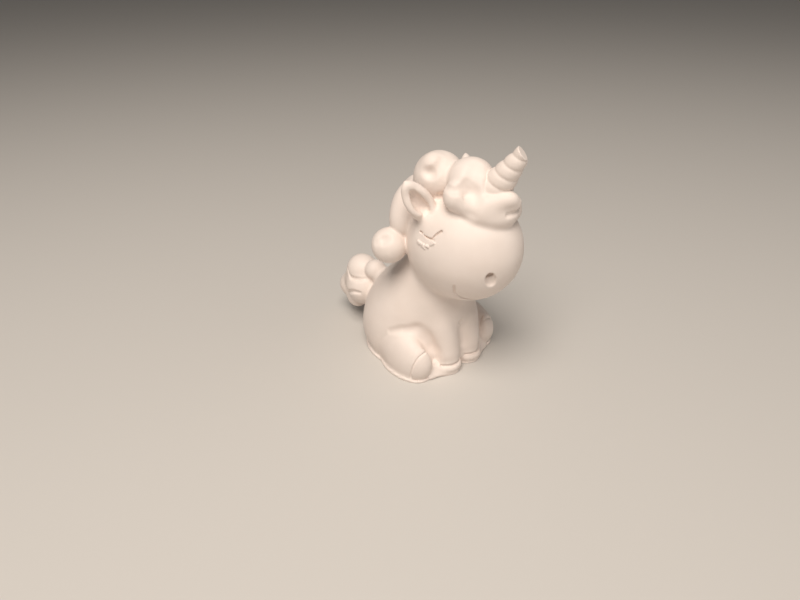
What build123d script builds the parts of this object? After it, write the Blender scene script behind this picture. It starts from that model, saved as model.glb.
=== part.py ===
from build123d import *
import os
from math import cos, pi, radians, sin, tan

# A small cast plaster unicorn, sitting, with its head turned a little to its own left.
# Millimetres. The table is Z = 0, the figure faces -Y and its own right side is -X.
# It is one casting, drawn here as the separate moulded masses that its creases divide it into.

# Body
BODY_WIDTH = 37.6
BODY_DEPTH = 36.0
BODY_HEIGHT = 36.0
# Each row is one level: height, middle in Y, half width and half depth.
BODY_LEVEL_SHARES = [
    (0.00, 0.18, 0.92, 0.91),
    (0.20, 0.22, 1.00, 1.00),
    (0.47, 0.16, 0.91, 0.94),
    (0.75, -0.06, 0.69, 0.73),
    (1.00, -0.40, 0.50, 0.52),
]

# Pour base, the thin skin of flash left round the foot of the casting
BASE_THICKNESS = 0.8
FLASH_WIDTH = 1.1

# Hind legs, each a rounded thigh that lies along the body, with a hoof at its front end
THIGH_WIDTH = 12.0
THIGH_LENGTH = 22.0
THIGH_HEIGHT = 17.2
THIGH_PLACE_SHARES = (0.74, -0.29)
THIGH_CENTRE_LIFT_SHARE = 0.6
THIGH_TOE_OUT = 4.0
HIND_HOOF_LENGTH = 3.3
HIND_HOOF_PROUD = 0.25

# Front legs, from the chest down to a hoof that stands on the base
FRONT_LEG_TOP_RADIUS = 5.0
FRONT_LEG_FOOT_RADIUS = 4.2
FRONT_LEG_SPACING = 9.2
FRONT_LEG_STATION_SHARES = [(1.25, -0.46, 0.66), (1.08, -0.70, 0.34), (1.00, -0.81, 0.0)]
FRONT_HOOF_HEIGHT = 4.0
FRONT_HOOF_FLARE = 0.35
FRONT_HOOF_GROOVE = 0.7

# Head, an egg that leans its muzzle down, turned on the neck
HEAD_WIDTH = 30.4
HEAD_LENGTH = 35.6
HEAD_HEIGHT = 33.2
HEAD_TURN = 10.0
HEAD_TILT = 6.0
HEAD_OVER_NECK_SHARES = (-0.42, 0.42)

# Face, cut into the head: closed eyes, nostrils and a smile that runs under the muzzle
EYE_LINE_RADIUS = 0.5
EYE_SHARES = [(0.83, 0.40, 0.38), (0.92, 0.14, 0.36), (0.84, -0.06, 0.54)]
NOSTRIL_WIDTH = 3.2
NOSTRIL_LENGTH = 5.4
NOSTRIL_DEPTH = 1.3
NOSTRIL_SHARES = (0.54, -0.81, -0.21)
NOSTRIL_SLANT = 18.0
MOUTH_LINE_RADIUS = 0.35
MOUTH_CORNER_SHARES = [(0.87, -0.32, -0.37), (0.71, -0.33, -0.62), (0.50, -0.46, -0.73)]
MOUTH_FRONT_SHARES = [(0.50, -0.46, -0.73), (0.26, -0.57, -0.78), (0.0, -0.60, -0.80)]

# Ears, two hollow leaves
EAR_LENGTH = 12.5
EAR_WIDTH = 7.2
EAR_THICKNESS = 4.0
EAR_RIM = 0.9
EAR_LEAF_SHARES = [(0.0, 0.70), (0.3, 1.0), (0.6, 0.80), (0.85, 0.36)]
EAR_ROOT_SHARES = (0.64, 0.36, 0.62)
EAR_LEAN_OUT = 24.0
EAR_LEAN_BACK = 20.0
EAR_FACE_TURN = 28.0

# Horn, a broken-off cone with one rounded ridge wound round it
HORN_LENGTH = 15.1
HORN_BASE_RADIUS = 4.7
HORN_TIP_RADIUS = 2.0
HORN_RIDGE = 0.26
HORN_TURNS = 5.0
HORN_SECTIONS_PER_TURN = 8
HORN_LEAN = 25.5
HORN_ROOT_DEPTH = 5.0
HORN_PLACE_SHARES = (-0.02, -0.53, 0.99)
HORN_BREAK_SLANT = 24.0
HORN_BREAK_TURN = -50.0

# Mane, round curls along the top of the head and longer locks at its front and back
CURL_DENT_RADIUS = 2.6
CURL_DENT_DEPTH = 0.7
CROWN_PUFF_RADIUS = 7.2
CROWN_PUFF_SHARES = (-0.07, 0.49, 1.12)
CROWN_DENT_SHARES = (-0.85, -0.16, 0.49)
FRONT_PUFF_RADIUS = 6.6
FRONT_PUFF_SHARES = (-0.07, -0.10, 1.18)
TEMPLE_CURL_RADIUS = 3.7
TEMPLE_CURL_SHARES = (-0.53, -0.11, 1.04)
FORELOCK_RADIUS = 4.1
FORELOCK_SHARES = [
    (-0.55, -0.10, 0.93),
    (-0.33, -0.46, 0.84),
    (-0.12, -0.63, 0.75),
    (0.10, -0.72, 0.80),
    (0.26, -0.68, 0.90),
]
FORELOCK_TIP_RADIUS = 2.3
FORELOCK_TIP_SHARES = [(0.05, -0.72, 0.74), (0.25, -0.72, 0.74), (0.42, -0.58, 0.80)]
BACK_LOCK_RADIUS = 4.4
BACK_LOCK_SHARES = [(0.22, 0.84, 0.98), (0.42, 0.90, 0.58), (0.64, 0.86, 0.10)]
NAPE_CURL_RADIUS = 5.3
NAPE_CURL_SHARES = (0.80, 1.00, -0.08)
NAPE_DENT_SHARES = (0.70, -0.22, 0.67)
REAR_LOCK_RADIUS = 5.6
REAR_LOCK_SHARES = [(0.0, 0.70, 0.98), (0.0, 1.02, 0.50), (0.0, 1.06, -0.14)]

# Tail, a curled tuft on the back of the body
TAIL_CURL_RADIUS = 7.0
TAIL_CURL_SHARES = (-0.32, 1.33, 0.41)
TAIL_TOP_RADIUS = 5.2
TAIL_TOP_SHARES = (-0.32, 1.42, 0.56)
TAIL_BACK_RADIUS = 3.9
TAIL_BACK_SHARES = (-0.32, 1.82, 0.31)
TAIL_TIP_RADIUS = 3.6
TAIL_TIP_SHARES = (-0.32, 1.60, 0.22)
TAIL_ROOT_RADIUS = 3.5
TAIL_ROOT_SHARES = (-0.30, 1.06, 0.62)

# Every cutting body runs this far past what it cuts.
OVERRUN = 60.0
# How the rounded forms are drawn: sections along each, and the angle at which their ends are cut blunt
LOCK_STATIONS = 6
LOCK_FULLNESS = 0.75
HEAD_STATIONS = 8
END_ANGLE = 0.05

HALF_BODY = Vector(BODY_WIDTH / 2, BODY_DEPTH / 2, BODY_HEIGHT)
HALF_HEAD = Vector(HEAD_WIDTH / 2, HEAD_LENGTH / 2, HEAD_HEIGHT / 2)
NECK_Y = BODY_LEVEL_SHARES[-1][1] * HALF_BODY.Y
HEAD_PLACE = (
    Pos(
        0,
        NECK_Y + HEAD_OVER_NECK_SHARES[0] * HALF_HEAD.Y,
        BODY_HEIGHT + HEAD_OVER_NECK_SHARES[1] * HALF_HEAD.Z,
    )
    * Rot(0, 0, HEAD_TURN)
)


def spread(shares, sizes):
    """The point that lies at these shares of three sizes."""
    return Vector(shares[0] * sizes.X, shares[1] * sizes.Y, shares[2] * sizes.Z)


def across(shares):
    """The same place on the other side of the middle plane."""
    return (-shares[0], shares[1], shares[2])


def one_solid(form):
    """The main solid of a form, without the crumbs that a cut can leave."""
    return max(form.solids(), key=lambda solid: solid.volume)


def ellipsoid(width, length, height):
    return scale(Sphere(1), by=(width / 2, length / 2, height / 2))


def ball(place, radius):
    return Pos(place) * Rot(90, 0, 0) * Sphere(radius)


def curl(place, radius, dent_shares):
    """A ball of hair with a dent where the curl rolls in, the seams of both balls turned away from the dent."""
    towards = Vector(*dent_shares).normalized()
    level = towards.cross(Vector(0, 1, 0))
    dent_place = place + towards * (radius + CURL_DENT_RADIUS - CURL_DENT_DEPTH)
    hair = Plane(place, x_dir=-towards, z_dir=level) * Sphere(radius)
    return hair - Plane(dent_place, x_dir=towards, z_dir=level) * Sphere(CURL_DENT_RADIUS)


def round_stations(count):
    """Places from 0 to 1 along a rounded form, close together at its ends, with the share of its girth there."""
    stations = []
    for step in range(count + 1):
        angle = END_ANGLE + (pi - 2 * END_ANGLE) * step / count
        stations.append(((1 - cos(angle)) / 2, sin(angle)))
    return stations


def lock(points, radius):
    """A lock of hair: a round bar along a curve, full in the middle and drawn in at both ends."""
    path = Spline(*points)
    out_of_bend = (points[1] - points[0]).cross(points[-1] - points[0])
    sections = []
    for along, girth_share in round_stations(LOCK_STATIONS):
        plane = Plane(path @ along, x_dir=out_of_bend, z_dir=path % along)
        sections.append(plane * Circle(radius * girth_share**LOCK_FULLNESS))
    return loft(sections)


def above_base():
    """All the room over the pour base."""
    return Pos(0, 0, BASE_THICKNESS) * Box(
        OVERRUN * 2, OVERRUN * 2, OVERRUN * 2, align=(Align.CENTER, Align.CENTER, Align.MIN)
    )


def body_form():
    levels = []
    for height, middle, half_width, half_depth in BODY_LEVEL_SHARES:
        level = Ellipse(half_width * HALF_BODY.X, half_depth * HALF_BODY.Y)
        levels.append(Pos(0, middle * HALF_BODY.Y, BASE_THICKNESS + height * BODY_HEIGHT) * level)
    return loft(levels)


def thigh_place(side):
    x_share, y_share = THIGH_PLACE_SHARES
    centre = (side * x_share * HALF_BODY.X, y_share * HALF_BODY.Y, THIGH_CENTRE_LIFT_SHARE * THIGH_HEIGHT / 2)
    return Pos(*centre) * Rot(0, 0, side * THIGH_TOE_OUT)


def hoof_room(side):
    """The room in front of the line between a thigh and its hoof."""
    line = -THIGH_LENGTH / 2 + HIND_HOOF_LENGTH
    return thigh_place(side) * Pos(0, line, 0) * Box(
        OVERRUN, OVERRUN, OVERRUN, align=(Align.CENTER, Align.MAX, Align.CENTER)
    )


def thigh_form(side):
    return thigh_place(side) * ellipsoid(THIGH_WIDTH, THIGH_LENGTH, THIGH_HEIGHT) & above_base()


def hind_hoof_form(side):
    """The front end of the thigh, standing a little proud of it."""
    grown = [size + 2 * HIND_HOOF_PROUD for size in (THIGH_WIDTH, THIGH_LENGTH, THIGH_HEIGHT)]
    return thigh_place(side) * ellipsoid(*grown) & hoof_room(side) & above_base()


def front_leg_points(side):
    points = []
    for x_share, y_share, z_share in FRONT_LEG_STATION_SHARES:
        height = BASE_THICKNESS + z_share * BODY_HEIGHT
        points.append(Vector(side * x_share * FRONT_LEG_SPACING / 2, y_share * HALF_BODY.Y, height))
    return points


def front_leg_form(side):
    """A bar that tapers from the chest to the fetlock and stops on top of the hoof."""
    top, knee, foot = front_leg_points(side)
    knee_radius = (FRONT_LEG_TOP_RADIUS + FRONT_LEG_FOOT_RADIUS) / 2
    ankle = foot + Vector(0, 0, FRONT_HOOF_HEIGHT)
    sections = [
        Plane(ankle) * Circle(FRONT_LEG_FOOT_RADIUS),
        Plane(knee) * Circle(knee_radius),
        Plane(top) * Circle(FRONT_LEG_TOP_RADIUS),
    ]
    return loft(sections)


def front_hoof_form(side):
    """A low drum that swells at the ground and rolls in to a groove at its top."""
    foot = front_leg_points(side)[-1]
    ground = FRONT_LEG_FOOT_RADIUS + FRONT_HOOF_FLARE
    neck = FRONT_LEG_FOOT_RADIUS - FRONT_HOOF_GROOVE / 2
    shoulder = FRONT_HOOF_HEIGHT - FRONT_HOOF_GROOVE
    outline = Polyline((0, 0), (ground, 0)) + Spline(
        (ground, 0), (ground, shoulder / 2), (FRONT_LEG_FOOT_RADIUS, shoulder), (neck, FRONT_HOOF_HEIGHT)
    )
    outline += Polyline((neck, FRONT_HOOF_HEIGHT), (0, FRONT_HOOF_HEIGHT), (0, 0))
    return Pos(foot) * revolve(Plane.XZ * make_face(outline), axis=Axis.Z)


def base_form():
    """The footprint of the body and feet with its flash, as thick as the pour base."""
    _, middle, half_width, half_depth = BODY_LEVEL_SHARES[0]
    sole = Ellipse(half_width * HALF_BODY.X + FLASH_WIDTH, half_depth * HALF_BODY.Y + FLASH_WIDTH)
    base = extrude(Pos(0, middle * HALF_BODY.Y) * sole, BASE_THICKNESS)
    half_height = THIGH_HEIGHT / 2
    sink = (THIGH_CENTRE_LIFT_SHARE * half_height - BASE_THICKNESS) / half_height
    at_ground = (1 - sink**2) ** 0.5
    for side in (-1, 1):
        sole = Ellipse(THIGH_WIDTH / 2 * at_ground + FLASH_WIDTH, THIGH_LENGTH / 2 * at_ground + FLASH_WIDTH)
        at_table = thigh_place(side) * Pos(0, 0, -THIGH_CENTRE_LIFT_SHARE * half_height)
        base += extrude(at_table * sole, BASE_THICKNESS)
        foot = front_leg_points(side)[-1]
        hoof = Pos(foot.X, foot.Y) * Circle(FRONT_LEG_FOOT_RADIUS + FRONT_HOOF_FLARE)
        base += extrude(hoof, BASE_THICKNESS)
    return base


def on_head(shares):
    """The point of the head's own surface in the direction of these shares."""
    direction = Vector(*shares).normalized()
    return spread((direction.X, direction.Y, direction.Z), HALF_HEAD)


def groove(points, radius):
    path = ThreePointArc(*points)
    return sweep(Plane(path @ 0, z_dir=path % 0) * Circle(radius), path=path)


def nostril(side):
    """A slanted oval pit on one side of the muzzle."""
    place = on_head(NOSTRIL_SHARES if side > 0 else across(NOSTRIL_SHARES))
    facing = Plane(place, x_dir=(0, 0, 1), z_dir=place)
    pit = scale(Sphere(1), by=(NOSTRIL_LENGTH / 2, NOSTRIL_WIDTH / 2, NOSTRIL_DEPTH))
    return facing * Rot(0, 0, -side * NOSTRIL_SLANT) * pit


def head_form():
    """The head in its own frame, with its face cut in."""
    ovals = []
    for along, girth_share in round_stations(HEAD_STATIONS):
        plane = Plane((0, (0.5 - along) * HEAD_LENGTH, 0), x_dir=(1, 0, 0), z_dir=(0, -1, 0))
        ovals.append(plane * Ellipse(HALF_HEAD.X * girth_share, HALF_HEAD.Z * girth_share))
    head = Rot(HEAD_TILT, 0, 0) * loft(ovals)
    for side in (-1, 1):
        flip = across if side < 0 else tuple
        head -= groove([on_head(flip(shares)) for shares in EYE_SHARES], EYE_LINE_RADIUS)
        head -= nostril(side)
        for stretch in (MOUTH_CORNER_SHARES, MOUTH_FRONT_SHARES):
            head -= groove([on_head(flip(shares)) for shares in stretch], MOUTH_LINE_RADIUS)
    return head


def ear_form(side):
    """A pointed leaf, hollowed on its outer face, in the head's own frame."""
    blade = ear_blade(EAR_WIDTH, EAR_THICKNESS, EAR_LENGTH)
    hollow = ear_blade(EAR_WIDTH - 2 * EAR_RIM, EAR_THICKNESS, EAR_LENGTH - 2 * EAR_RIM)
    blade -= Pos(0, -EAR_THICKNESS / 2, EAR_RIM) * hollow
    root = spread(EAR_ROOT_SHARES, HALF_HEAD)
    ear = Pos(root) * Rot(-EAR_LEAN_BACK, EAR_LEAN_OUT, 0) * Rot(0, 0, EAR_FACE_TURN) * blade
    return ear if side > 0 else mirror(ear, about=Plane.YZ)


def ear_blade(width, thickness, length):
    """A leaf that stands on its round root and runs up to a point."""
    sections = []
    for height_share, width_share in EAR_LEAF_SHARES:
        leaf = Ellipse(width / 2 * width_share, thickness / 2 * width_share)
        sections.append(Pos(0, 0, height_share * length) * leaf)
    sections.append(Vertex(0, 0, length))
    return loft(sections)


def horn_form():
    """A cone whose round sections swing round its axis, so that one ridge winds up it, broken off at a slant."""
    steps = int(HORN_TURNS * HORN_SECTIONS_PER_TURN)
    full = HORN_LENGTH + HORN_ROOT_DEPTH
    taper = (HORN_BASE_RADIUS - HORN_TIP_RADIUS) / HORN_LENGTH
    sections = []
    for step in range(steps + 1):
        height = full * step / steps
        radius = HORN_BASE_RADIUS - taper * (height - HORN_ROOT_DEPTH) - HORN_RIDGE / 2
        angle = 2 * pi * HORN_TURNS * step / steps
        sections.append(Pos(HORN_RIDGE * cos(angle), HORN_RIDGE * sin(angle), height) * Circle(radius))
    horn = loft(sections)
    break_height = full - HORN_TIP_RADIUS * tan(radians(HORN_BREAK_SLANT))
    broken_off = Pos(0, 0, OVERRUN / 2) * Box(OVERRUN, OVERRUN, OVERRUN)
    horn -= Pos(0, 0, break_height) * Rot(0, 0, HORN_BREAK_TURN) * Rot(0, HORN_BREAK_SLANT, 0) * broken_off
    place = Pos(spread(HORN_PLACE_SHARES, HALF_HEAD)) * Rot(HORN_LEAN, 0, 0)
    return place * Pos(0, 0, -HORN_ROOT_DEPTH) * horn


def head_points(table, flip=tuple):
    return [spread(flip(shares), HALF_HEAD) for shares in table]


def raw_forms():
    """Every mass at full size, before the later ones are cut back to the earlier ones."""
    forms = {"pour_base": base_form(), "body": body_form()}
    sides = {"right": -1, "left": 1}
    for name, side in sides.items():
        forms[f"hind_leg_{name}"] = thigh_form(side) - hoof_room(side)
        forms[f"hind_hoof_{name}"] = hind_hoof_form(side)
        forms[f"front_hoof_{name}"] = front_hoof_form(side)
        forms[f"front_leg_{name}"] = front_leg_form(side)
    crest = {"head": head_form(), "horn": horn_form()}
    crest["forelock"] = lock(head_points(FORELOCK_SHARES), FORELOCK_RADIUS)
    crest["forelock_tip"] = lock(head_points(FORELOCK_TIP_SHARES), FORELOCK_TIP_RADIUS)
    crest["temple_curl"] = ball(spread(TEMPLE_CURL_SHARES, HALF_HEAD), TEMPLE_CURL_RADIUS)
    crest["front_puff"] = ball(spread(FRONT_PUFF_SHARES, HALF_HEAD), FRONT_PUFF_RADIUS)
    crest["crown_puff"] = curl(spread(CROWN_PUFF_SHARES, HALF_HEAD), CROWN_PUFF_RADIUS, CROWN_DENT_SHARES)
    for name, side in sides.items():
        flip = across if side < 0 else tuple
        crest[f"ear_{name}"] = ear_form(side)
        crest[f"back_lock_{name}"] = lock(head_points(BACK_LOCK_SHARES, flip), BACK_LOCK_RADIUS)
        nape_place = spread(flip(NAPE_CURL_SHARES), HALF_HEAD)
        crest[f"nape_curl_{name}"] = curl(nape_place, NAPE_CURL_RADIUS, flip(NAPE_DENT_SHARES))
    crest["rear_lock"] = lock(head_points(REAR_LOCK_SHARES), REAR_LOCK_RADIUS)
    forms.update({name: HEAD_PLACE * form for name, form in crest.items()})
    forms["tail_curl"] = ball(spread(TAIL_CURL_SHARES, HALF_BODY), TAIL_CURL_RADIUS)
    forms["tail_top"] = ball(spread(TAIL_TOP_SHARES, HALF_BODY), TAIL_TOP_RADIUS)
    forms["tail_back"] = ball(spread(TAIL_BACK_SHARES, HALF_BODY), TAIL_BACK_RADIUS)
    forms["tail_tip"] = ball(spread(TAIL_TIP_SHARES, HALF_BODY), TAIL_TIP_RADIUS)
    forms["tail_root"] = ball(spread(TAIL_ROOT_SHARES, HALF_BODY), TAIL_ROOT_RADIUS)
    return forms


def meet(one, other):
    """Whether the boxes round two forms overlap."""
    first, second = one.bounding_box(), other.bounding_box()
    lowest = [max(a, b) for a, b in zip(first.min, second.min)]
    highest = [min(a, b) for a, b in zip(first.max, second.max)]
    return all(low < high for low, high in zip(lowest, highest))


def main():
    os.makedirs("parts", exist_ok=True)
    forms = raw_forms()
    seated = {}
    for name in ["pour_base", "head", *forms]:
        if name in seated:
            continue
        form = forms[name]
        for other in seated.values():
            if meet(form, other):
                form = one_solid(form - other)
        seated[name] = form
    for name, form in seated.items():
        export_step(one_solid(form), f"parts/{name}.step")


if __name__ == "__main__":
    main()
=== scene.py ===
import math

import bmesh
import bpy
import numpy as np
import openvdb
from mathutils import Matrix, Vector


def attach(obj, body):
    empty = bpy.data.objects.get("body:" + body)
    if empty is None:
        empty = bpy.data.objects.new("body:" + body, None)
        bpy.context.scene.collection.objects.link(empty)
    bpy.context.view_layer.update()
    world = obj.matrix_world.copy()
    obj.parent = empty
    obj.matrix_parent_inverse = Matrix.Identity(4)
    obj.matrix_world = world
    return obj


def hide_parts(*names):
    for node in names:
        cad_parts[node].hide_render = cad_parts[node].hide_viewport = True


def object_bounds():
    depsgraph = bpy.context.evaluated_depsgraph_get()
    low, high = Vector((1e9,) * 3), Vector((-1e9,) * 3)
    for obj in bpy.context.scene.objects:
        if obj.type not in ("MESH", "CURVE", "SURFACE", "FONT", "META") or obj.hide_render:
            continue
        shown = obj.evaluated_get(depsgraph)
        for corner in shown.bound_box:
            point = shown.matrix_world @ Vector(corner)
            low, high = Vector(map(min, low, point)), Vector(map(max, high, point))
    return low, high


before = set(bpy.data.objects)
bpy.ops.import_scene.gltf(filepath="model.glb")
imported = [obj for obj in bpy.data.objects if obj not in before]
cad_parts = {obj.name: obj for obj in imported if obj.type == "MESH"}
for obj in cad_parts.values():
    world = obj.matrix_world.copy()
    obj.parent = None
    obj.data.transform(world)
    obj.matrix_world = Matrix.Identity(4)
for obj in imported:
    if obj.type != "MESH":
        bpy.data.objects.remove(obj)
cad_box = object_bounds()

# The table and the light
# A plain pale table top carries the figure. One large soft lamp stands at the upper left of
# the view, with a weak one opposite, so that the round plaster forms shade off gently.
MM = 0.001
TABLE_SIZE = 4.0
TABLE_HEX = "#CFCBC6"
ROOM_HEX = "#F4EFE9"
ROOM_STRENGTH = 0.14


def linear(hex_colour):
    """An sRGB hex colour as linear RGBA."""
    channels = [int(hex_colour[i:i + 2], 16) / 255 for i in (1, 3, 5)]
    return [c / 12.92 if c <= 0.04045 else ((c + 0.055) / 1.055) ** 2.4 for c in channels] + [1.0]


def add_node(tree, kind, settings=None, inputs=None, links=None):
    """One shader node with its settings, socket values and incoming links."""
    node = tree.nodes.new(kind)
    for name, value in (settings or {}).items():
        setattr(node, name, value)
    for name, value in (inputs or {}).items():
        node.inputs[name].default_value = value
    for name, source in (links or {}).items():
        tree.links.new(source, node.inputs[name])
    return node


def new_material(name):
    material = bpy.data.materials.new(name)
    material.use_nodes = True
    material.node_tree.nodes.clear()
    return material


def new_object(name, data):
    thing = bpy.data.objects.new(name, data)
    bpy.context.scene.collection.objects.link(thing)
    return thing


table_mesh = bpy.data.meshes.new("table_top")
half = TABLE_SIZE / 2
table_mesh.from_pydata([(-half, -half, 0), (half, -half, 0), (half, half, 0), (-half, half, 0)], [], [(0, 1, 2, 3)])
table = new_object("table_top", table_mesh)
table_paint = new_material("matt_pale_table")
tree = table_paint.node_tree
shader = add_node(tree, "ShaderNodeBsdfPrincipled", inputs={"Base Color": linear(TABLE_HEX), "Roughness": 0.7})
add_node(tree, "ShaderNodeOutputMaterial", links={"Surface": shader.outputs[0]})
table_mesh.materials.append(table_paint)

LAMPS = {
    "window_lamp": {"at": (-0.28, -0.18, 0.62), "size": 0.42, "watts": 5.1, "hex": "#FFF6EC"},
    "fill_lamp": {"at": (0.40, -0.50, 0.30), "size": 0.60, "watts": 0.5, "hex": "#FFF9F2"},
}
for name, lamp in LAMPS.items():
    light = bpy.data.lights.new(name, "AREA")
    light.size = lamp["size"]
    light.energy = lamp["watts"]
    light.color = linear(lamp["hex"])[:3]
    holder = new_object(name, light)
    holder.location = lamp["at"]
    aim = np.array((0.0, -0.005, 0.035)) - np.array(lamp["at"])
    holder.rotation_euler = (math.acos(-aim[2] / np.linalg.norm(aim)), 0, math.atan2(aim[1], aim[0]) - math.pi / 2)

world = bpy.data.worlds.new("plain_room")
world.use_nodes = True
world.node_tree.nodes["Background"].inputs["Color"].default_value = linear(ROOM_HEX)
world.node_tree.nodes["Background"].inputs["Strength"].default_value = ROOM_STRENGTH
bpy.context.scene.world = world
bpy.context.scene.view_settings.view_transform = "Standard"

# The camera
# A phone's main camera, held about two and a half figure heights away at the figure's right
# front and looking down on it, so that the head is nearer and looks larger than the base.
CAMERA_AT = (-117.8, -119.1, 121.1)
CAMERA_TURN = -41.73
CAMERA_DOWN = 31.95
CAMERA_LENS = 27.0
camera = bpy.data.cameras.new("phone_camera")
camera.lens = CAMERA_LENS
camera.sensor_width = 36.0
camera.clip_start = 0.005
holder = new_object("phone_camera", camera)
holder.location = [value * MM for value in CAMERA_AT]
holder.rotation_euler = (math.radians(90 - CAMERA_DOWN), 0, math.radians(CAMERA_TURN))
bpy.context.scene.camera = holder

# The casting
# The figure is one pour of gypsum plaster in a soft mould, so its masses run into each other
# over fillets. The solids become distance fields on one fine grid and are joined there; each
# piece below presses its own marks into that grid and takes its share of the skin.
VOXEL = 0.21
REACH = 3.0
FILLETS = {
    "pour_base": 0.5, "body": 1.2, "head": 2.2, "hind_leg": 1.6, "hind_hoof": 0.25, "front_leg": 3.0,
    "front_hoof": 0.3, "forelock": 1.2, "temple_curl": 1.4, "front_puff": 1.2, "crown_puff": 1.2,
    "ear": 1.6, "back_lock": 1.0, "nape_curl": 0.8, "rear_lock": 1.6, "tail_root": 2.2, "tail": 1.0, "horn": 0.35,
}


def kind_of(node):
    return next(kind for kind in FILLETS if node.startswith(kind))


def solid_mesh(node):
    """A solid's own mesh in millimetres, with the points that lie on each other made one."""
    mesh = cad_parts[node].data
    mesh.calc_loop_triangles()
    points = np.empty(len(mesh.vertices) * 3, np.float32)
    mesh.vertices.foreach_get("co", points)
    points = points.reshape(-1, 3) / MM
    corners = np.empty(len(mesh.loop_triangles) * 3, np.int32)
    mesh.loop_triangles.foreach_get("vertices", corners)
    _, first, back = np.unique(np.round(points, 4), axis=0, return_index=True, return_inverse=True)
    corners = back.reshape(-1)[corners.reshape(-1, 3)]
    return points[first], corners[(corners != np.roll(corners, 1, 1)).all(1)]


low = np.floor((np.array(cad_box[0]) / MM - REACH) / VOXEL).astype(int)
high = np.ceil((np.array(cad_box[1]) / MM + REACH) / VOXEL).astype(int)
field = np.full(high - low + 1, REACH, np.float32)
nearest = field.copy()
owner = np.zeros(field.shape, np.int8)
node_names = sorted(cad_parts, key=lambda node: list(FILLETS).index(kind_of(node)))
node_boxes = {}
grid_step = openvdb.createLinearTransform(voxelSize=VOXEL)


def room_round(bottom, top):
    """The part of the grid round a box in millimetres: its slices and its first cell."""
    start = np.maximum(np.floor((bottom - REACH) / VOXEL).astype(int), low)
    stop = np.minimum(np.ceil((top + REACH) / VOXEL).astype(int), high)
    return tuple(slice(a - b, c - b + 1) for a, b, c in zip(start, low, stop)), start


def mesh_field(points, triangles):
    """The distance to a closed mesh, less than nothing inside it."""
    room, start = room_round(points.min(0), points.max(0))
    grid = openvdb.FloatGrid.createLevelSetFromPolygons(
        points, triangles=triangles.astype(np.uint32), transform=grid_step, halfWidth=REACH / VOXEL
    )
    own = np.empty(field[room].shape, np.float32)
    grid.copyToArray(own, ijk=[int(i) for i in start])
    return room, own


def add_mass(room, own, fillet):
    """Joins a mass to the casting over a fillet."""
    before = field[room]
    near = np.maximum(fillet - np.abs(before - own), 0) / fillet
    field[room] = np.minimum(before, own) - near * near * fillet / 4


def take_away(room, own, rounding):
    """Presses a shape into the casting and rounds the rim of the mark."""
    before = field[room]
    near = np.maximum(rounding - np.abs(before + own), 0) / rounding
    field[room] = np.maximum(before, -own) + near * near * rounding / 4


def claim(number, room, own):
    """Gives a solid the cells that lie nearest to it."""
    closer = own < nearest[room]
    nearest[room] = np.where(closer, own, nearest[room])
    owner[room] = np.where(closer, number, owner[room])


def thread(path, radii):
    """The distance to a round thread along a path, its radius running through some values."""
    path = np.asarray(path, np.float32)
    radii = np.interp(np.linspace(0, 1, len(path)), np.linspace(0, 1, len(radii)), radii)
    room, start = room_round(path.min(0) - max(radii), path.max(0) + max(radii))
    axes = [(np.arange(n) + first) * VOXEL for n, first in zip(field[room].shape, start)]
    cells = np.stack(np.meshgrid(*axes, indexing="ij"), -1).astype(np.float32)
    own = np.full(cells.shape[:3], REACH, np.float32)
    for a, b, ra, rb in zip(path[:-1], path[1:], radii[:-1], radii[1:]):
        run = b - a
        along = np.clip((cells - a) @ run / max(run @ run, 1e-9), 0, 1)
        reach = np.linalg.norm(cells - a - along[..., None] * run, axis=-1)
        own = np.minimum(own, reach - ra - (rb - ra) * along)
    return room, own


def curve_through(points, steps=8):
    """A smooth curve through some points."""
    p = np.array(points, np.float32)
    p = np.vstack([2 * p[0] - p[1], p, 2 * p[-1] - p[-2]])
    t = np.linspace(0, 1, steps, endpoint=False)[:, None]
    spans = []
    for a, b, c, d in zip(p[:-3], p[1:-2], p[2:-1], p[3:]):
        spans.append(b + t * ((c - a) + t * (2 * a - 5 * b + 4 * c - d + t * (3 * b - a - 3 * c + d))) / 2)
    return np.vstack(spans + [p[-2:-1]])


def depth_at(points):
    """The field at some points, between the cells."""
    place = points / VOXEL - low
    cell = np.floor(place).astype(int)
    part = place - cell
    total = np.zeros(len(points))
    for corner in np.ndindex(2, 2, 2):
        share = np.where(corner, part, 1 - part).prod(1)
        total += share * field[tuple((cell + corner).T)]
    return total


def outward(points):
    """The direction out of the casting at some points."""
    tilt = np.stack([depth_at(points + e) - depth_at(points - e) for e in np.eye(3) * VOXEL], 1)
    return tilt / np.maximum(np.linalg.norm(tilt, axis=1, keepdims=True), 1e-6)


def sunk(points, depth):
    """Points brought to the skin and then pushed under it."""
    points = np.array(points, float)
    for turn in range(8):
        points -= outward(points) * depth_at(points)[:, None]
    return points - outward(points) * depth


def spots(node, shares):
    """Places given as shares of a solid's box, in millimetres."""
    bottom, top = node_boxes[node]
    return [bottom + np.array(share) * (top - bottom) for share in shares]


def path_on_skin(points, depth):
    path = curve_through(points) if len(points) > 1 else np.repeat(points, 2, 0)
    return sunk(path, depth)


def press(points, radii, depth, rounding):
    """A groove or a dent along a curve drawn on the skin."""
    take_away(*thread(path_on_skin(points, depth), radii), rounding)


def raise_bead(points, radii, depth, fillet):
    """A rounded bead along a curve drawn on the skin."""
    add_mass(*thread(path_on_skin(points, depth), radii), fillet)


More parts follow.
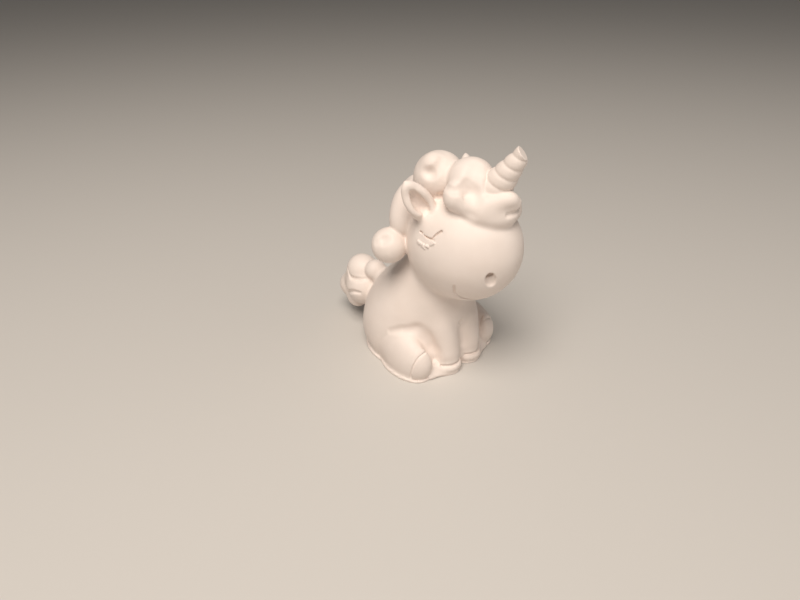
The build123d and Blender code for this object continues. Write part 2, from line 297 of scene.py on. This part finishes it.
def ease(middle, radius, times):
    """Softens the casting round a place, as worn mould edges do."""
    room, start = room_round(np.array(middle) - radius + REACH, np.array(middle) + radius - REACH)
    axes = [(np.arange(n) + first) * VOXEL for n, first in zip(field[room].shape, start)]
    cells = np.stack(np.meshgrid(*axes, indexing="ij"), -1)
    weight = np.clip(1 - np.linalg.norm(cells - middle, axis=-1) / radius, 0, 1)
    weight = np.clip(weight * 2, 0, 1).astype(np.float32)
    part = field[room].copy()
    for turn in range(times):
        soft = part
        for axis in range(3):
            soft = (np.roll(soft, 1, axis) + 2 * soft + np.roll(soft, -1, axis)) / 4
        part += (soft - part) * weight
    field[room] = part


for number, node in enumerate(node_names):
    points, triangles = solid_mesh(node)
    node_boxes[node] = points.min(0), points.max(0)
    if node != "horn":
        mass = mesh_field(points, triangles)
        add_mass(*mass, FILLETS[kind_of(node)])
        claim(number, *mass)
for axis in range(3):
    field = (np.roll(field, 1, axis) + 2 * field + np.roll(field, -1, axis)) / 4

UNEVEN_SIZES = np.linspace(5.0, 14.0, 9)
UNEVEN_HEIGHT = 0.10
LIP_SIZES = np.linspace(1.4, 4.0, 9)
LIP_HEIGHT = 0.45


def unevenness(points, sizes, seed):
    """Smooth waves of some sizes, running in fixed chance directions."""
    chance = np.random.default_rng(seed)
    total = np.zeros(len(points), np.float32)
    for size in sizes:
        way = chance.normal(size=3)
        way *= 2 * math.pi / size / np.linalg.norm(way)
        total += np.sin(points @ way.astype(np.float32) + chance.uniform(0, 2 * math.pi))
    return total / len(sizes)


near = np.abs(field) < 1
cells = ((np.argwhere(near) + low) * VOXEL).astype(np.float32)
off_table = np.clip((cells[:, 2] - 0.2) / 0.4, 0, 1)
lip = np.clip(1 - (cells[:, 2] - 0.5) / 1.0, 0, 1) * LIP_HEIGHT
swell = unevenness(cells, UNEVEN_SIZES, 3) * UNEVEN_HEIGHT + np.abs(unevenness(cells, LIP_SIZES, 8)) * lip
field[near] += swell * off_table

# Set plaster: matt and dense with a faint waxy sheen, cloudy in tone by a hair, and pricked with
# pinholes of trapped air, so that it reads as cast mineral and not as plastic.
PLASTER_HEX = "#F3E8E1"
PLASTER_SHADE_HEX = "#EADCD3"
GRAIN = 0.35
PINHOLE = 0.9
plaster = new_material("cast_gypsum_plaster")
tree = plaster.node_tree
place = add_node(tree, "ShaderNodeTexCoord").outputs["Object"]
clouds = add_node(tree, "ShaderNodeTexNoise", inputs={"Scale": 1 / (7 * MM), "Detail": 3}, links={"Vector": place})
grain = add_node(tree, "ShaderNodeTexNoise", inputs={"Scale": 1 / (GRAIN * MM), "Detail": 4}, links={"Vector": place})
holes = add_node(tree, "ShaderNodeTexVoronoi", inputs={"Scale": 1 / (PINHOLE * MM)}, links={"Vector": place})
pinholes = add_node(tree, "ShaderNodeMapRange", inputs={"From Min": 0.0, "From Max": 0.13, "To Min": 0.0, "To Max": 1.0},
                    links={"Value": holes.outputs["Distance"]})
tint = add_node(tree, "ShaderNodeMix", {"data_type": "RGBA"}, links={"Factor": clouds.outputs["Fac"]})
tint.inputs["A"].default_value = linear(PLASTER_HEX)
tint.inputs["B"].default_value = linear(PLASTER_SHADE_HEX)
dull = add_node(tree, "ShaderNodeMapRange", inputs={"To Min": 0.48, "To Max": 0.68}, links={"Value": grain.outputs["Fac"]})
grains = add_node(tree, "ShaderNodeBump", inputs={"Strength": 0.12, "Distance": 0.05 * MM},
                  links={"Height": grain.outputs["Fac"]})
bumps = add_node(tree, "ShaderNodeBump", inputs={"Strength": 0.35, "Distance": 0.06 * MM},
                 links={"Height": pinholes.outputs[0], "Normal": grains.outputs[0]})
shader = add_node(tree, "ShaderNodeBsdfPrincipled", inputs={"Specular IOR Level": 0.4},
                  links={"Base Color": tint.outputs["Result"], "Roughness": dull.outputs[0], "Normal": bumps.outputs[0]})
add_node(tree, "ShaderNodeOutputMaterial", links={"Surface": shader.outputs[0]})


pieces = {}


def cast(node):
    """One piece of the casting, which gets its skin when the mould is opened."""
    pieces[node] = new_object("cast_" + node, bpy.data.meshes.new("cast_" + node))
    pieces[node].data.materials.append(plaster)
    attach(pieces[node], "root")
    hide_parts(node)


# The horn
# A blunt cone with one ridge wound up it in five turns, cast with the head. It fills first, as
# the lowest point of the upturned mould, and its tip is broken off at a slant.
HORN_AXIS_SHARES = [(0.45, 0.97, 0.03), (0.64, 0.11, 0.97)]
HORN_BREAK_FACES = (0.75, -0.66, 0.0)
HORN_SOCKET = [(0.15, 0.74, 0.59), (0.07, 0.70, 0.47), (0.13, 0.59, 0.36), (0.19, 0.40, 0.34), (0.50, 0.19, 0.39), (0.68, 0.17, 0.33)]
HORN_SIZES = {"length": 21.4, "foot radius": 6.4, "tip radius": 2.1, "turns": 7.0, "groove": 0.36, "slant": 0.45}
HORN_SOCKET_DEPTH = 1.6
HORN_SEAT = [(0.50, 0.75, 0.05), (0.53, 0.58, 0.26)]


def geometry_tree(name, inputs):
    """A node tree with named number inputs."""
    tree = bpy.data.node_groups.new(name, "GeometryNodeTree")
    tree.interface.new_socket("Geometry", in_out="INPUT", socket_type="NodeSocketGeometry")
    tree.interface.new_socket("Geometry", in_out="OUTPUT", socket_type="NodeSocketGeometry")
    for title in inputs:
        tree.interface.new_socket(title, in_out="INPUT", socket_type="NodeSocketFloat")
    return tree


def grown_mesh(tree, inputs, base):
    """The plain mesh that a tree makes on an object, with its named inputs set."""
    grower = base.modifiers.new(tree.name, "NODES")
    grower.node_group = tree
    for item in tree.interface.items_tree:
        if item.item_type == "SOCKET" and item.name in inputs:
            grower[item.identifier] = float(inputs[item.name])
    ready = base.evaluated_get(bpy.context.evaluated_depsgraph_get())
    mesh = bpy.data.meshes.new_from_object(ready)
    base.modifiers.remove(grower)
    return mesh


def worked(tree, operation, *values):
    """A maths node on sockets and numbers."""
    node = add_node(tree, "ShaderNodeMath", {"operation": operation})
    for socket, value in zip(node.inputs, values):
        if isinstance(value, (int, float)):
            socket.default_value = value
        else:
            tree.links.new(value, socket)
    return node.outputs[0]


tree = geometry_tree("wound_horn", HORN_SIZES)
given = add_node(tree, "NodeGroupInput").outputs
cylinder = add_node(tree, "GeometryNodeMeshCylinder",
                    inputs={"Vertices": 96, "Side Segments": 140, "Fill Segments": 6, "Radius": 1, "Depth": 1})
place = add_node(tree, "ShaderNodeSeparateXYZ",
                 links={0: add_node(tree, "GeometryNodeInputPosition").outputs[0]}).outputs
rise = worked(tree, "ADD", place["Z"], 0.5)
turned = worked(tree, "DIVIDE", worked(tree, "ARCTAN2", place["Y"], place["X"]), 2 * math.pi)
wind = worked(tree, "FRACT", worked(tree, "SUBTRACT", worked(tree, "MULTIPLY", rise, given["turns"]), turned))
from_ridge = worked(tree, "ABSOLUTE", worked(tree, "SUBTRACT", worked(tree, "MULTIPLY", wind, 2), 1))
dip = worked(tree, "MULTIPLY", worked(tree, "POWER", from_ridge, 2.6), given["groove"])
span = worked(tree, "SUBTRACT", given["tip radius"], given["foot radius"])
radius = worked(tree, "SUBTRACT", worked(tree, "MULTIPLY_ADD", span, rise, given["foot radius"]), dip)
broken = worked(tree, "MULTIPLY", worked(tree, "POWER", rise, 24), given["slant"])
drop = worked(tree, "MULTIPLY", worked(tree, "MULTIPLY", place["X"], radius), broken)
height = worked(tree, "SUBTRACT", worked(tree, "MULTIPLY", rise, given["length"]), drop)
formed = add_node(tree, "ShaderNodeCombineXYZ", links={
    "X": worked(tree, "MULTIPLY", place["X"], radius), "Y": worked(tree, "MULTIPLY", place["Y"], radius), "Z": height,
})
moved = add_node(tree, "GeometryNodeSetPosition",
                 links={"Geometry": cylinder.outputs["Mesh"], "Position": formed.outputs[0]})
real = add_node(tree, "GeometryNodeRealizeInstances", links={0: moved.outputs[0]})
dressed = add_node(tree, "GeometryNodeSetMaterial", inputs={"Material": plaster}, links={"Geometry": real.outputs[0]})
add_node(tree, "NodeGroupOutput", links={0: dressed.outputs[0]})


def plain_triangles(mesh):
    """Points and triangles of a mesh that is already in millimetres."""
    mesh.calc_loop_triangles()
    points = np.array([v.co for v in mesh.vertices], np.float32)
    return points, np.array([t.vertices for t in mesh.loop_triangles], np.int64)


blank = new_object("horn_blank", bpy.data.meshes.new("horn_blank"))
points, triangles = plain_triangles(grown_mesh(tree, HORN_SIZES, blank))
bpy.data.objects.remove(blank)
foot, tip = spots("horn", HORN_AXIS_SHARES)
up = (tip - foot) / np.linalg.norm(tip - foot)
across = np.cross(up, HORN_BREAK_FACES)
across /= np.linalg.norm(across)
points = foot + points @ np.stack([np.cross(across, up), across, up])
socket = curve_through(np.array(spots("horn", HORN_SOCKET)) - up * HORN_SOCKET_DEPTH)
add_mass(*thread(socket, (1.4, 2.0, 2.2, 2.2, 2.1, 2.0)), 2.6)
add_mass(*thread(spots("horn", HORN_SEAT), (5.0, 4.6)), 1.6)
mass = mesh_field(points.astype(np.float32), triangles)
add_mass(*mass, FILLETS["horn"])
claim(node_names.index("horn"), *mass)
cast("horn")

# The ears
# Two pointed leaves with a hollow face and a thick rolled rim, cast with the head. The tips are
# blunt, since thin tips break off when the mould is peeled away.
HEAD_TURN = 10.0
EAR_RIM = [(0.84, 0.02, 0.30), (0.78, 0.16, 0.50), (0.57, 0.38, 0.70), (0.36, 0.66, 0.83), (0.15, 0.78, 0.88),
           (0.04, 0.84, 0.82), (0.03, 0.82, 0.65), (0.06, 0.61, 0.45), (0.20, 0.38, 0.28), (0.40, 0.26, 0.20)]
EAR_HOLLOW = [(0.20, 0.62, 0.74), (0.36, 0.57, 0.55), (0.60, 0.42, 0.37), (0.76, 0.16, 0.29)]


def other_side(points):
    """Points mirrored to the other side of the turned head."""
    head_middle = np.array(spots("head", [(0.5, 0.5, 0.5)])[0])
    c, s = math.cos(math.radians(HEAD_TURN)), math.sin(math.radians(HEAD_TURN))
    turn = np.array([(c, -s, 0), (s, c, 0), (0, 0, 1)])
    flat = (np.array(points) - head_middle) @ turn * (-1, 1, 1)
    return list(flat @ turn.T + head_middle)


ear_rim = spots("ear_right", EAR_RIM)
ear_hollow = spots("ear_right", EAR_HOLLOW)
for rim, hollow in ((ear_rim, ear_hollow), (other_side(ear_rim), other_side(ear_hollow))):
    add_mass(*thread(curve_through(rim), (1.0, 1.2, 1.2, 1.0, 0.8, 0.6)), 1.1)
    press(hollow, (0.8, 1.4, 1.2, 0.7), -0.4, 0.8)
for side in ("right", "left"):
    cast("ear_" + side)

# The front of the mane
# Fat round curls over the brow and crown, cast with the head. A crescent crease shows where a
# curl rolls in, and a deep pit is left where three of them meet by the ear.
CROWN_CURL = [(0.12, 0.34, 0.80)]
CROWN_CREASE = [(0.06, 0.41, 0.70), (0.11, 0.29, 0.67), (0.19, 0.21, 0.79), (0.33, 0.25, 0.91)]
BROW_CURL = [(0.42, 0.62, 1.05), (0.62, 0.42, 1.12)]
BROW_CREASE = [(0.27, 0.72, 0.84), (0.22, 0.36, 0.86), (0.52, 0.26, 0.90), (0.75, 0.26, 1.06)]
BROW_VALLEY = [(0.34, 0.28, 0.90), (0.20, 0.17, 0.68), (0.16, 0.13, 0.40)]
TEMPLE_PIT = [(0.22, 0.11, 0.23)]
FORELOCK_FOLD = [(0.54, 0.05, 0.46), (0.68, 0.03, 0.48), (0.82, 0.05, 0.52)]
FORELOCK_NOTCH = [(0.07, 0.50, 0.55), (0.12, 0.52, 0.85), (0.27, 0.65, 0.99)]
raise_bead(spots("crown_puff", CROWN_CURL), (3.0,), 2.6, 1.6)
press(spots("crown_puff", CROWN_CREASE), (1.0, 1.4, 1.2, 0.8), -0.75, 1.4)
raise_bead(spots("temple_curl", BROW_CURL), (2.3, 2.3), 1.9, 1.8)
press(spots("temple_curl", BROW_CREASE), (0.8, 1.2, 1.1, 0.8), -0.45, 1.1)
press(spots("front_puff", BROW_VALLEY), (1.8, 2.2, 2.0), -1.85, 2.0)
press(spots("crown_puff", TEMPLE_PIT), (1.1,), 0.0, 1.0)
press(spots("forelock", FORELOCK_FOLD), (0.4, 0.7, 0.8), -0.1, 0.9)
press(spots("forelock", FORELOCK_NOTCH), (1.8, 1.9, 1.8), -1.0, 1.8)
for node in ("forelock", "forelock_tip", "temple_curl", "front_puff", "crown_puff"):
    cast(node)

# The back of the mane
# Long locks down both sides of the neck and one down its middle, ending in a round curl on
# each side, cast with the head and dented where the curls roll in.
NAPE_DENT = [(0.07, 0.50, 0.72), (0.16, 0.40, 0.80), (0.28, 0.30, 0.84)]
nape_dent = spots("nape_curl_right", NAPE_DENT)
for dent in (nape_dent, other_side(nape_dent)):
    ease(dent[1], 4.5, 25)
    press(dent, (0.9, 1.3, 0.9), -0.8, 1.2)
for node in ("back_lock_right", "back_lock_left", "nape_curl_right", "nape_curl_left", "rear_lock"):
    cast(node)

# The head
# A broad egg turned a little to the figure's left, cast solid. The mould's carved lines give the
# shut eyes and the smile; under the right eye trapped air left a rim of crumbs.
EYE_STROKES = [
    [(0.05, 0.62, 0.70), (0.04, 0.59, 0.70)],
    [(0.04, 0.56, 0.69), (0.05, 0.52, 0.68), (0.05, 0.48, 0.68)],
    [(0.05, 0.48, 0.68), (0.07, 0.45, 0.73), (0.10, 0.42, 0.76)],
]
MOUTH_LINE = [(0.11, 0.27, 0.32), (0.14, 0.29, 0.25), (0.20, 0.29, 0.17), (0.30, 0.24, 0.13), (0.56, 0.20, 0.10)]
NOSTRIL = [(0.32, 0.08, 0.43)]
mouth_line = spots("head", MOUTH_LINE)
eye_middle = spots("head", [(0.05, 0.52, 0.69)])
for middle in eye_middle + other_side(eye_middle):
    ease(middle, 6.0, 60)
for stroke in EYE_STROKES:
    stroke = spots("head", stroke)
    for eye in (stroke, other_side(stroke)):
        press(eye, (0.30, 0.38, 0.42), 0.38, 0.2)
nostril = spots("head", NOSTRIL)
for pit in (nostril, other_side(nostril)):
    press(pit[:1], (1.3,), 0.5, 0.5)
for half_mouth in (mouth_line, other_side(mouth_line)):
    press(half_mouth, (0.34, 0.30, 0.25), 0.1, 0.2)

CRUMB_BED = [(0.03, 0.62, 0.63), (0.01, 0.56, 0.61), (0.01, 0.50, 0.61), (0.03, 0.46, 0.64), (0.05, 0.41, 0.68)]
CRUMB_BED_WIDTH = 1.0
CRUMBS = {"per square mm": 2.8, "smallest": 0.22, "largest": 0.52}


def scatter_tree(name, inputs, seed):
    """A node tree that strews balls of chance sizes over a surface."""
    tree = geometry_tree(name, inputs)
    given = add_node(tree, "NodeGroupInput").outputs
    strewn = add_node(tree, "GeometryNodeDistributePointsOnFaces", inputs={"Seed": seed},
                      links={"Mesh": given["Geometry"], "Density": given["per square mm"]})
    ball = add_node(tree, "GeometryNodeMeshIcoSphere", inputs={"Radius": 1.0, "Subdivisions": 3})
    size = add_node(tree, "FunctionNodeRandomValue", {"data_type": "FLOAT"}, inputs={"Seed": seed + 1},
                    links={2: given["smallest"], 3: given["largest"]})
    balls = add_node(tree, "GeometryNodeInstanceOnPoints",
                     links={"Points": strewn.outputs["Points"], "Instance": ball.outputs["Mesh"],
                            "Scale": size.outputs[1]})
    real = add_node(tree, "GeometryNodeRealizeInstances", links={0: balls.outputs[0]})
    dressed = add_node(tree, "GeometryNodeSetMaterial", inputs={"Material": plaster},
                       links={"Geometry": real.outputs[0]})
    add_node(tree, "NodeGroupOutput", links={0: dressed.outputs[0]})
    return tree


def strewn_balls(tree, inputs, points, faces):
    """The balls that a tree strews over some faces, as points and triangles in millimetres."""
    mesh = bpy.data.meshes.new(tree.name)
    mesh.from_pydata(points, [], faces)
    base = new_object(tree.name, mesh)
    balls = plain_triangles(grown_mesh(tree, inputs, base))
    bpy.data.objects.remove(base)
    return balls


bed = sunk(curve_through(spots("head", CRUMB_BED)), 0.0)
edge = np.array((0, 0, CRUMB_BED_WIDTH / 2))
ribbon = [(i, i + 1, i + 1 + len(bed), i + len(bed)) for i in range(len(bed) - 1)]
crumb_tree = scatter_tree("crumbs_under_the_eye", CRUMBS, 5)
add_mass(*mesh_field(*strewn_balls(crumb_tree, CRUMBS, np.vstack([bed - edge, bed + edge]), ribbon)), 0.15)
cast("head")

# The legs
# Two straight front legs side by side and two folded hind legs along the body, cast with it. Each
# ends in a hoof that a carved line sets off; thin plaster webs fill the corners on the table.
CHEST = [(0.5, 0.50, 0.98), (0.5, 0.36, 0.66)]
HOOF_GROOVE = [(0.05, 0.38, 0.69), (0.13, 0.23, 0.70), (0.36, 0.06, 0.72), (0.64, 0.06, 0.72), (0.88, 0.24, 0.70)]
HOOF_LIP = [(0.02, 0.50, 0.36), (0.12, 0.20, 0.36), (0.36, 0.02, 0.38), (0.64, 0.02, 0.38), (0.88, 0.20, 0.36)]
HOOF_TOPS = [(0.15, 0.25, 1.0), (0.50, 0.05, 1.0), (0.85, 0.25, 1.0)]
WEB_CORNER = (-0.08, 0.75, 0.45)
WEB_EDGE = [(-0.40, 0.46, 0.0), (-0.05, 0.36, 0.0), (0.22, 0.24, 0.0)]
HIND_HOOF_LINE = [(0.75, 0.62, 0.88), (0.26, 0.60, 0.79), (0.06, 0.77, 0.46), (0.10, 1.00, 0.10)]
THIGH_CREASE = [(0.04, 0.34, 0.35), (0.09, 0.24, 0.39), (0.17, 0.14, 0.41)]
THIGH_VALLEY = [(-0.19, 1.03, 0.53), (-0.01, 0.85, 0.42), (0.16, 0.70, 0.24), (0.17, 0.45, 0.08)]
for side in ("right", "left"):
    ease(spots("front_leg_" + side, [(0.2 if side == "right" else 0.8, 0.7, 1.0)])[0], 9.0, 120)
chest = [p for side in ("right", "left") for p in spots("front_leg_" + side, CHEST)]
raise_bead([(chest[0] + chest[2]) / 2, (chest[1] + chest[3]) / 2], (3.4, 2.6), 2.0, 2.4)
press([(chest[1] + chest[3]) / 2 - (0, 0, 1.6)], (0.8,), 0.0, 0.7)
for flip in ((1, 1, 1), (-1, 1, 1)):
    for top in spots("front_hoof_right", HOOF_TOPS):
        ease(top * flip, 3.4, 30)
    corner = spots("front_hoof_right", [WEB_CORNER])[0]
    for reach in curve_through(spots("front_hoof_right", WEB_EDGE), 4):
        add_mass(*thread(np.array([corner, reach]) * flip, (1.8, 0.65)), 1.0)
    raise_bead(np.array(spots("front_hoof_right", HOOF_LIP)) * flip, (0.8, 0.9, 0.8), 0.6, 0.6)
    press(np.array(spots("front_hoof_right", HOOF_GROOVE)) * flip, (0.35, 0.50, 0.35), 0.25, 0.3)
    press(np.array(spots("hind_hoof_right", HIND_HOOF_LINE)) * flip, (0.25, 0.35, 0.35, 0.25), 0.05, 0.2)
    press(np.array(spots("body", THIGH_CREASE)) * flip, (0.8, 1.3, 1.4), -0.7, 1.0)
    valley = np.array(spots("front_leg_right", THIGH_VALLEY)) * flip
    press(valley, (1.2, 1.8, 1.5, 0.9), -1.2, 2.0)
    for place in valley[:3]:
        ease(place, 4.5, 25)
for node in node_names:
    if "leg" in node or "hoof" in node:
        cast(node)

# The tail
# A short curled tuft on the back of the body, cast with it. Its lobes lie close against each other
# and only two creases part them on the right side.
TAIL_FILL = [("tail_top", (0.45, 0.55, 0.35)), ("tail_back", (0.45, 0.30, 0.70)), ("tail_tip", (0.45, 0.45, 0.60))]
TAIL_CREASES = [
    [(0.10, 0.80, 0.95), (0.11, 0.57, 0.80), (0.14, 0.33, 0.82), (0.26, 0.18, 0.85)],
    [(0.10, 0.80, 0.30), (0.01, 0.40, 0.50), (0.08, 0.18, 0.53)],
]
fill = [spots(node, [place])[0] for node, place in TAIL_FILL]
add_mass(*thread(curve_through(fill), (3.6, 3.4, 3.0)), 2.4)
for crease in TAIL_CREASES:
    press(spots("tail_curl", crease), (0.4, 0.7, 0.7, 0.4), 0.0, 0.6)
for node in node_names:
    if node.startswith("tail"):
        cast(node)

# The body
# The pear-shaped sitting trunk with the back of the neck, the thickest part of the pour. It is
# smooth all round and carries the creases that the thighs and the chest leave on it.
cast("body")

# The pour base
# The flat face where the plaster was poured into the mould, struck off level. A thin uneven lip
# of flash stands out round its edge, since the plaster crept over the rim of the mould.
cast("pour_base")

# The opened mould
# All marks are in the grid by now, so the skin is drawn from it once and cut where the solids
# meet. Each share is closed behind its rim by rings that stay within the plaster.
COLLAR = 0.8
RING_PULLS = (0.0, 0.25, 0.4, 0.7)
heights = ((np.arange(field.shape[2]) + low[2]) * VOXEL).astype(np.float32)
field = np.maximum(field, -heights)
grid = openvdb.FloatGrid(REACH)
grid.copyFromArray(np.ascontiguousarray(field), ijk=[int(i) for i in low])
grid.transform = grid_step
skin, quads = grid.convertToQuads(0.0)
ends = np.sort(np.stack([quads, np.roll(quads, -1, 1)], -1).reshape(-1, 2).astype(np.int64))
edges, uses = np.unique(ends[:, 0] * len(skin) + ends[:, 1], return_counts=True)
pinched = np.stack(np.divmod(edges[uses > 2], len(skin)), 1)
for x, y, z in np.floor(skin[pinched].mean(1) / VOXEL).astype(int) - low:
    owner[x - 2:x + 4, y - 2:y + 4, z - 2:z + 4] = owner[x, y, z]
owners = owner[tuple((np.round(skin[quads].mean(1) / VOXEL).astype(int) - low).T)]


def fill_small_holes(form):
    """Takes out pinched faces and closes the holes that they leave."""
    doubled = {face for edge in form.edges if len(edge.link_faces) > 2 for face in edge.link_faces}
    bmesh.ops.delete(form, geom=list(doubled), context="FACES")
    for corner in [v for v in form.verts if sum(e.is_boundary for e in v.link_edges) > 2]:
        bmesh.utils.vert_separate(corner, [e for e in corner.link_edges if e.is_boundary])
    bmesh.ops.holes_fill(form, edges=form.edges[:], sides=16)


def rims_of(form):
    """The open rims of a form, each as a list of edges."""
    left = {edge for edge in form.edges if edge.is_boundary}
    while left:
        rim, found = [], [left.pop()]
        while found:
            rim.append(found.pop())
            beside = {edge for corner in rim[-1].verts for edge in corner.link_edges} & left
            left -= beside
            found.extend(beside)
        yield rim


def kept_inside(points, depth):
    """Points pushed into the plaster until it covers them by some depth."""
    for turn in range(6):
        points = points - outward(points) * np.maximum(depth_at(points) + depth, 0)[:, None]
    points[:, 2] = np.maximum(points[:, 2], 0)
    return points


def close_behind(form):
    """Draws every rim into the plaster, ring by ring towards its middle, and closes it there."""
    for rim in list(rims_of(form)):
        corners = {corner for edge in rim for corner in edge.verts}
        middle = kept_inside(np.mean([[c / MM for c in corner.co] for corner in corners], 0)[None], 2 * COLLAR)
        for pull in RING_PULLS:
            grown = bmesh.ops.extrude_edge_only(form, edges=rim)["geom"]
            ring = [part for part in grown if isinstance(part, bmesh.types.BMVert)]
            rim = [part for part in grown if isinstance(part, bmesh.types.BMEdge) and part.is_boundary]
            places = np.array([corner.co for corner in ring]) / MM
            for corner, place in zip(ring, kept_inside(places + (middle - places) * pull, COLLAR)):
                corner.co = place * MM
        bmesh.ops.poke(form, faces=bmesh.ops.holes_fill(form, edges=rim, sides=0)["faces"], center_mode="MEAN")
    bmesh.ops.triangulate(form, faces=[face for face in form.faces if len(face.verts) > 4])


for node, piece in pieces.items():
    used, share = np.unique(quads[owners == node_names.index(node)].astype(int), return_inverse=True)
    mesh = piece.data
    mesh.from_pydata(skin[used] * MM, [], share.reshape(-1, 4))
    form = bmesh.new()
    form.from_mesh(mesh)
    fill_small_holes(form)
    close_behind(form)
    form.to_mesh(mesh)
    form.free()
    mesh.shade_smooth()
    mesh.normals_split_custom_set_from_vertices(outward(np.array([v.co for v in mesh.vertices]) / MM))
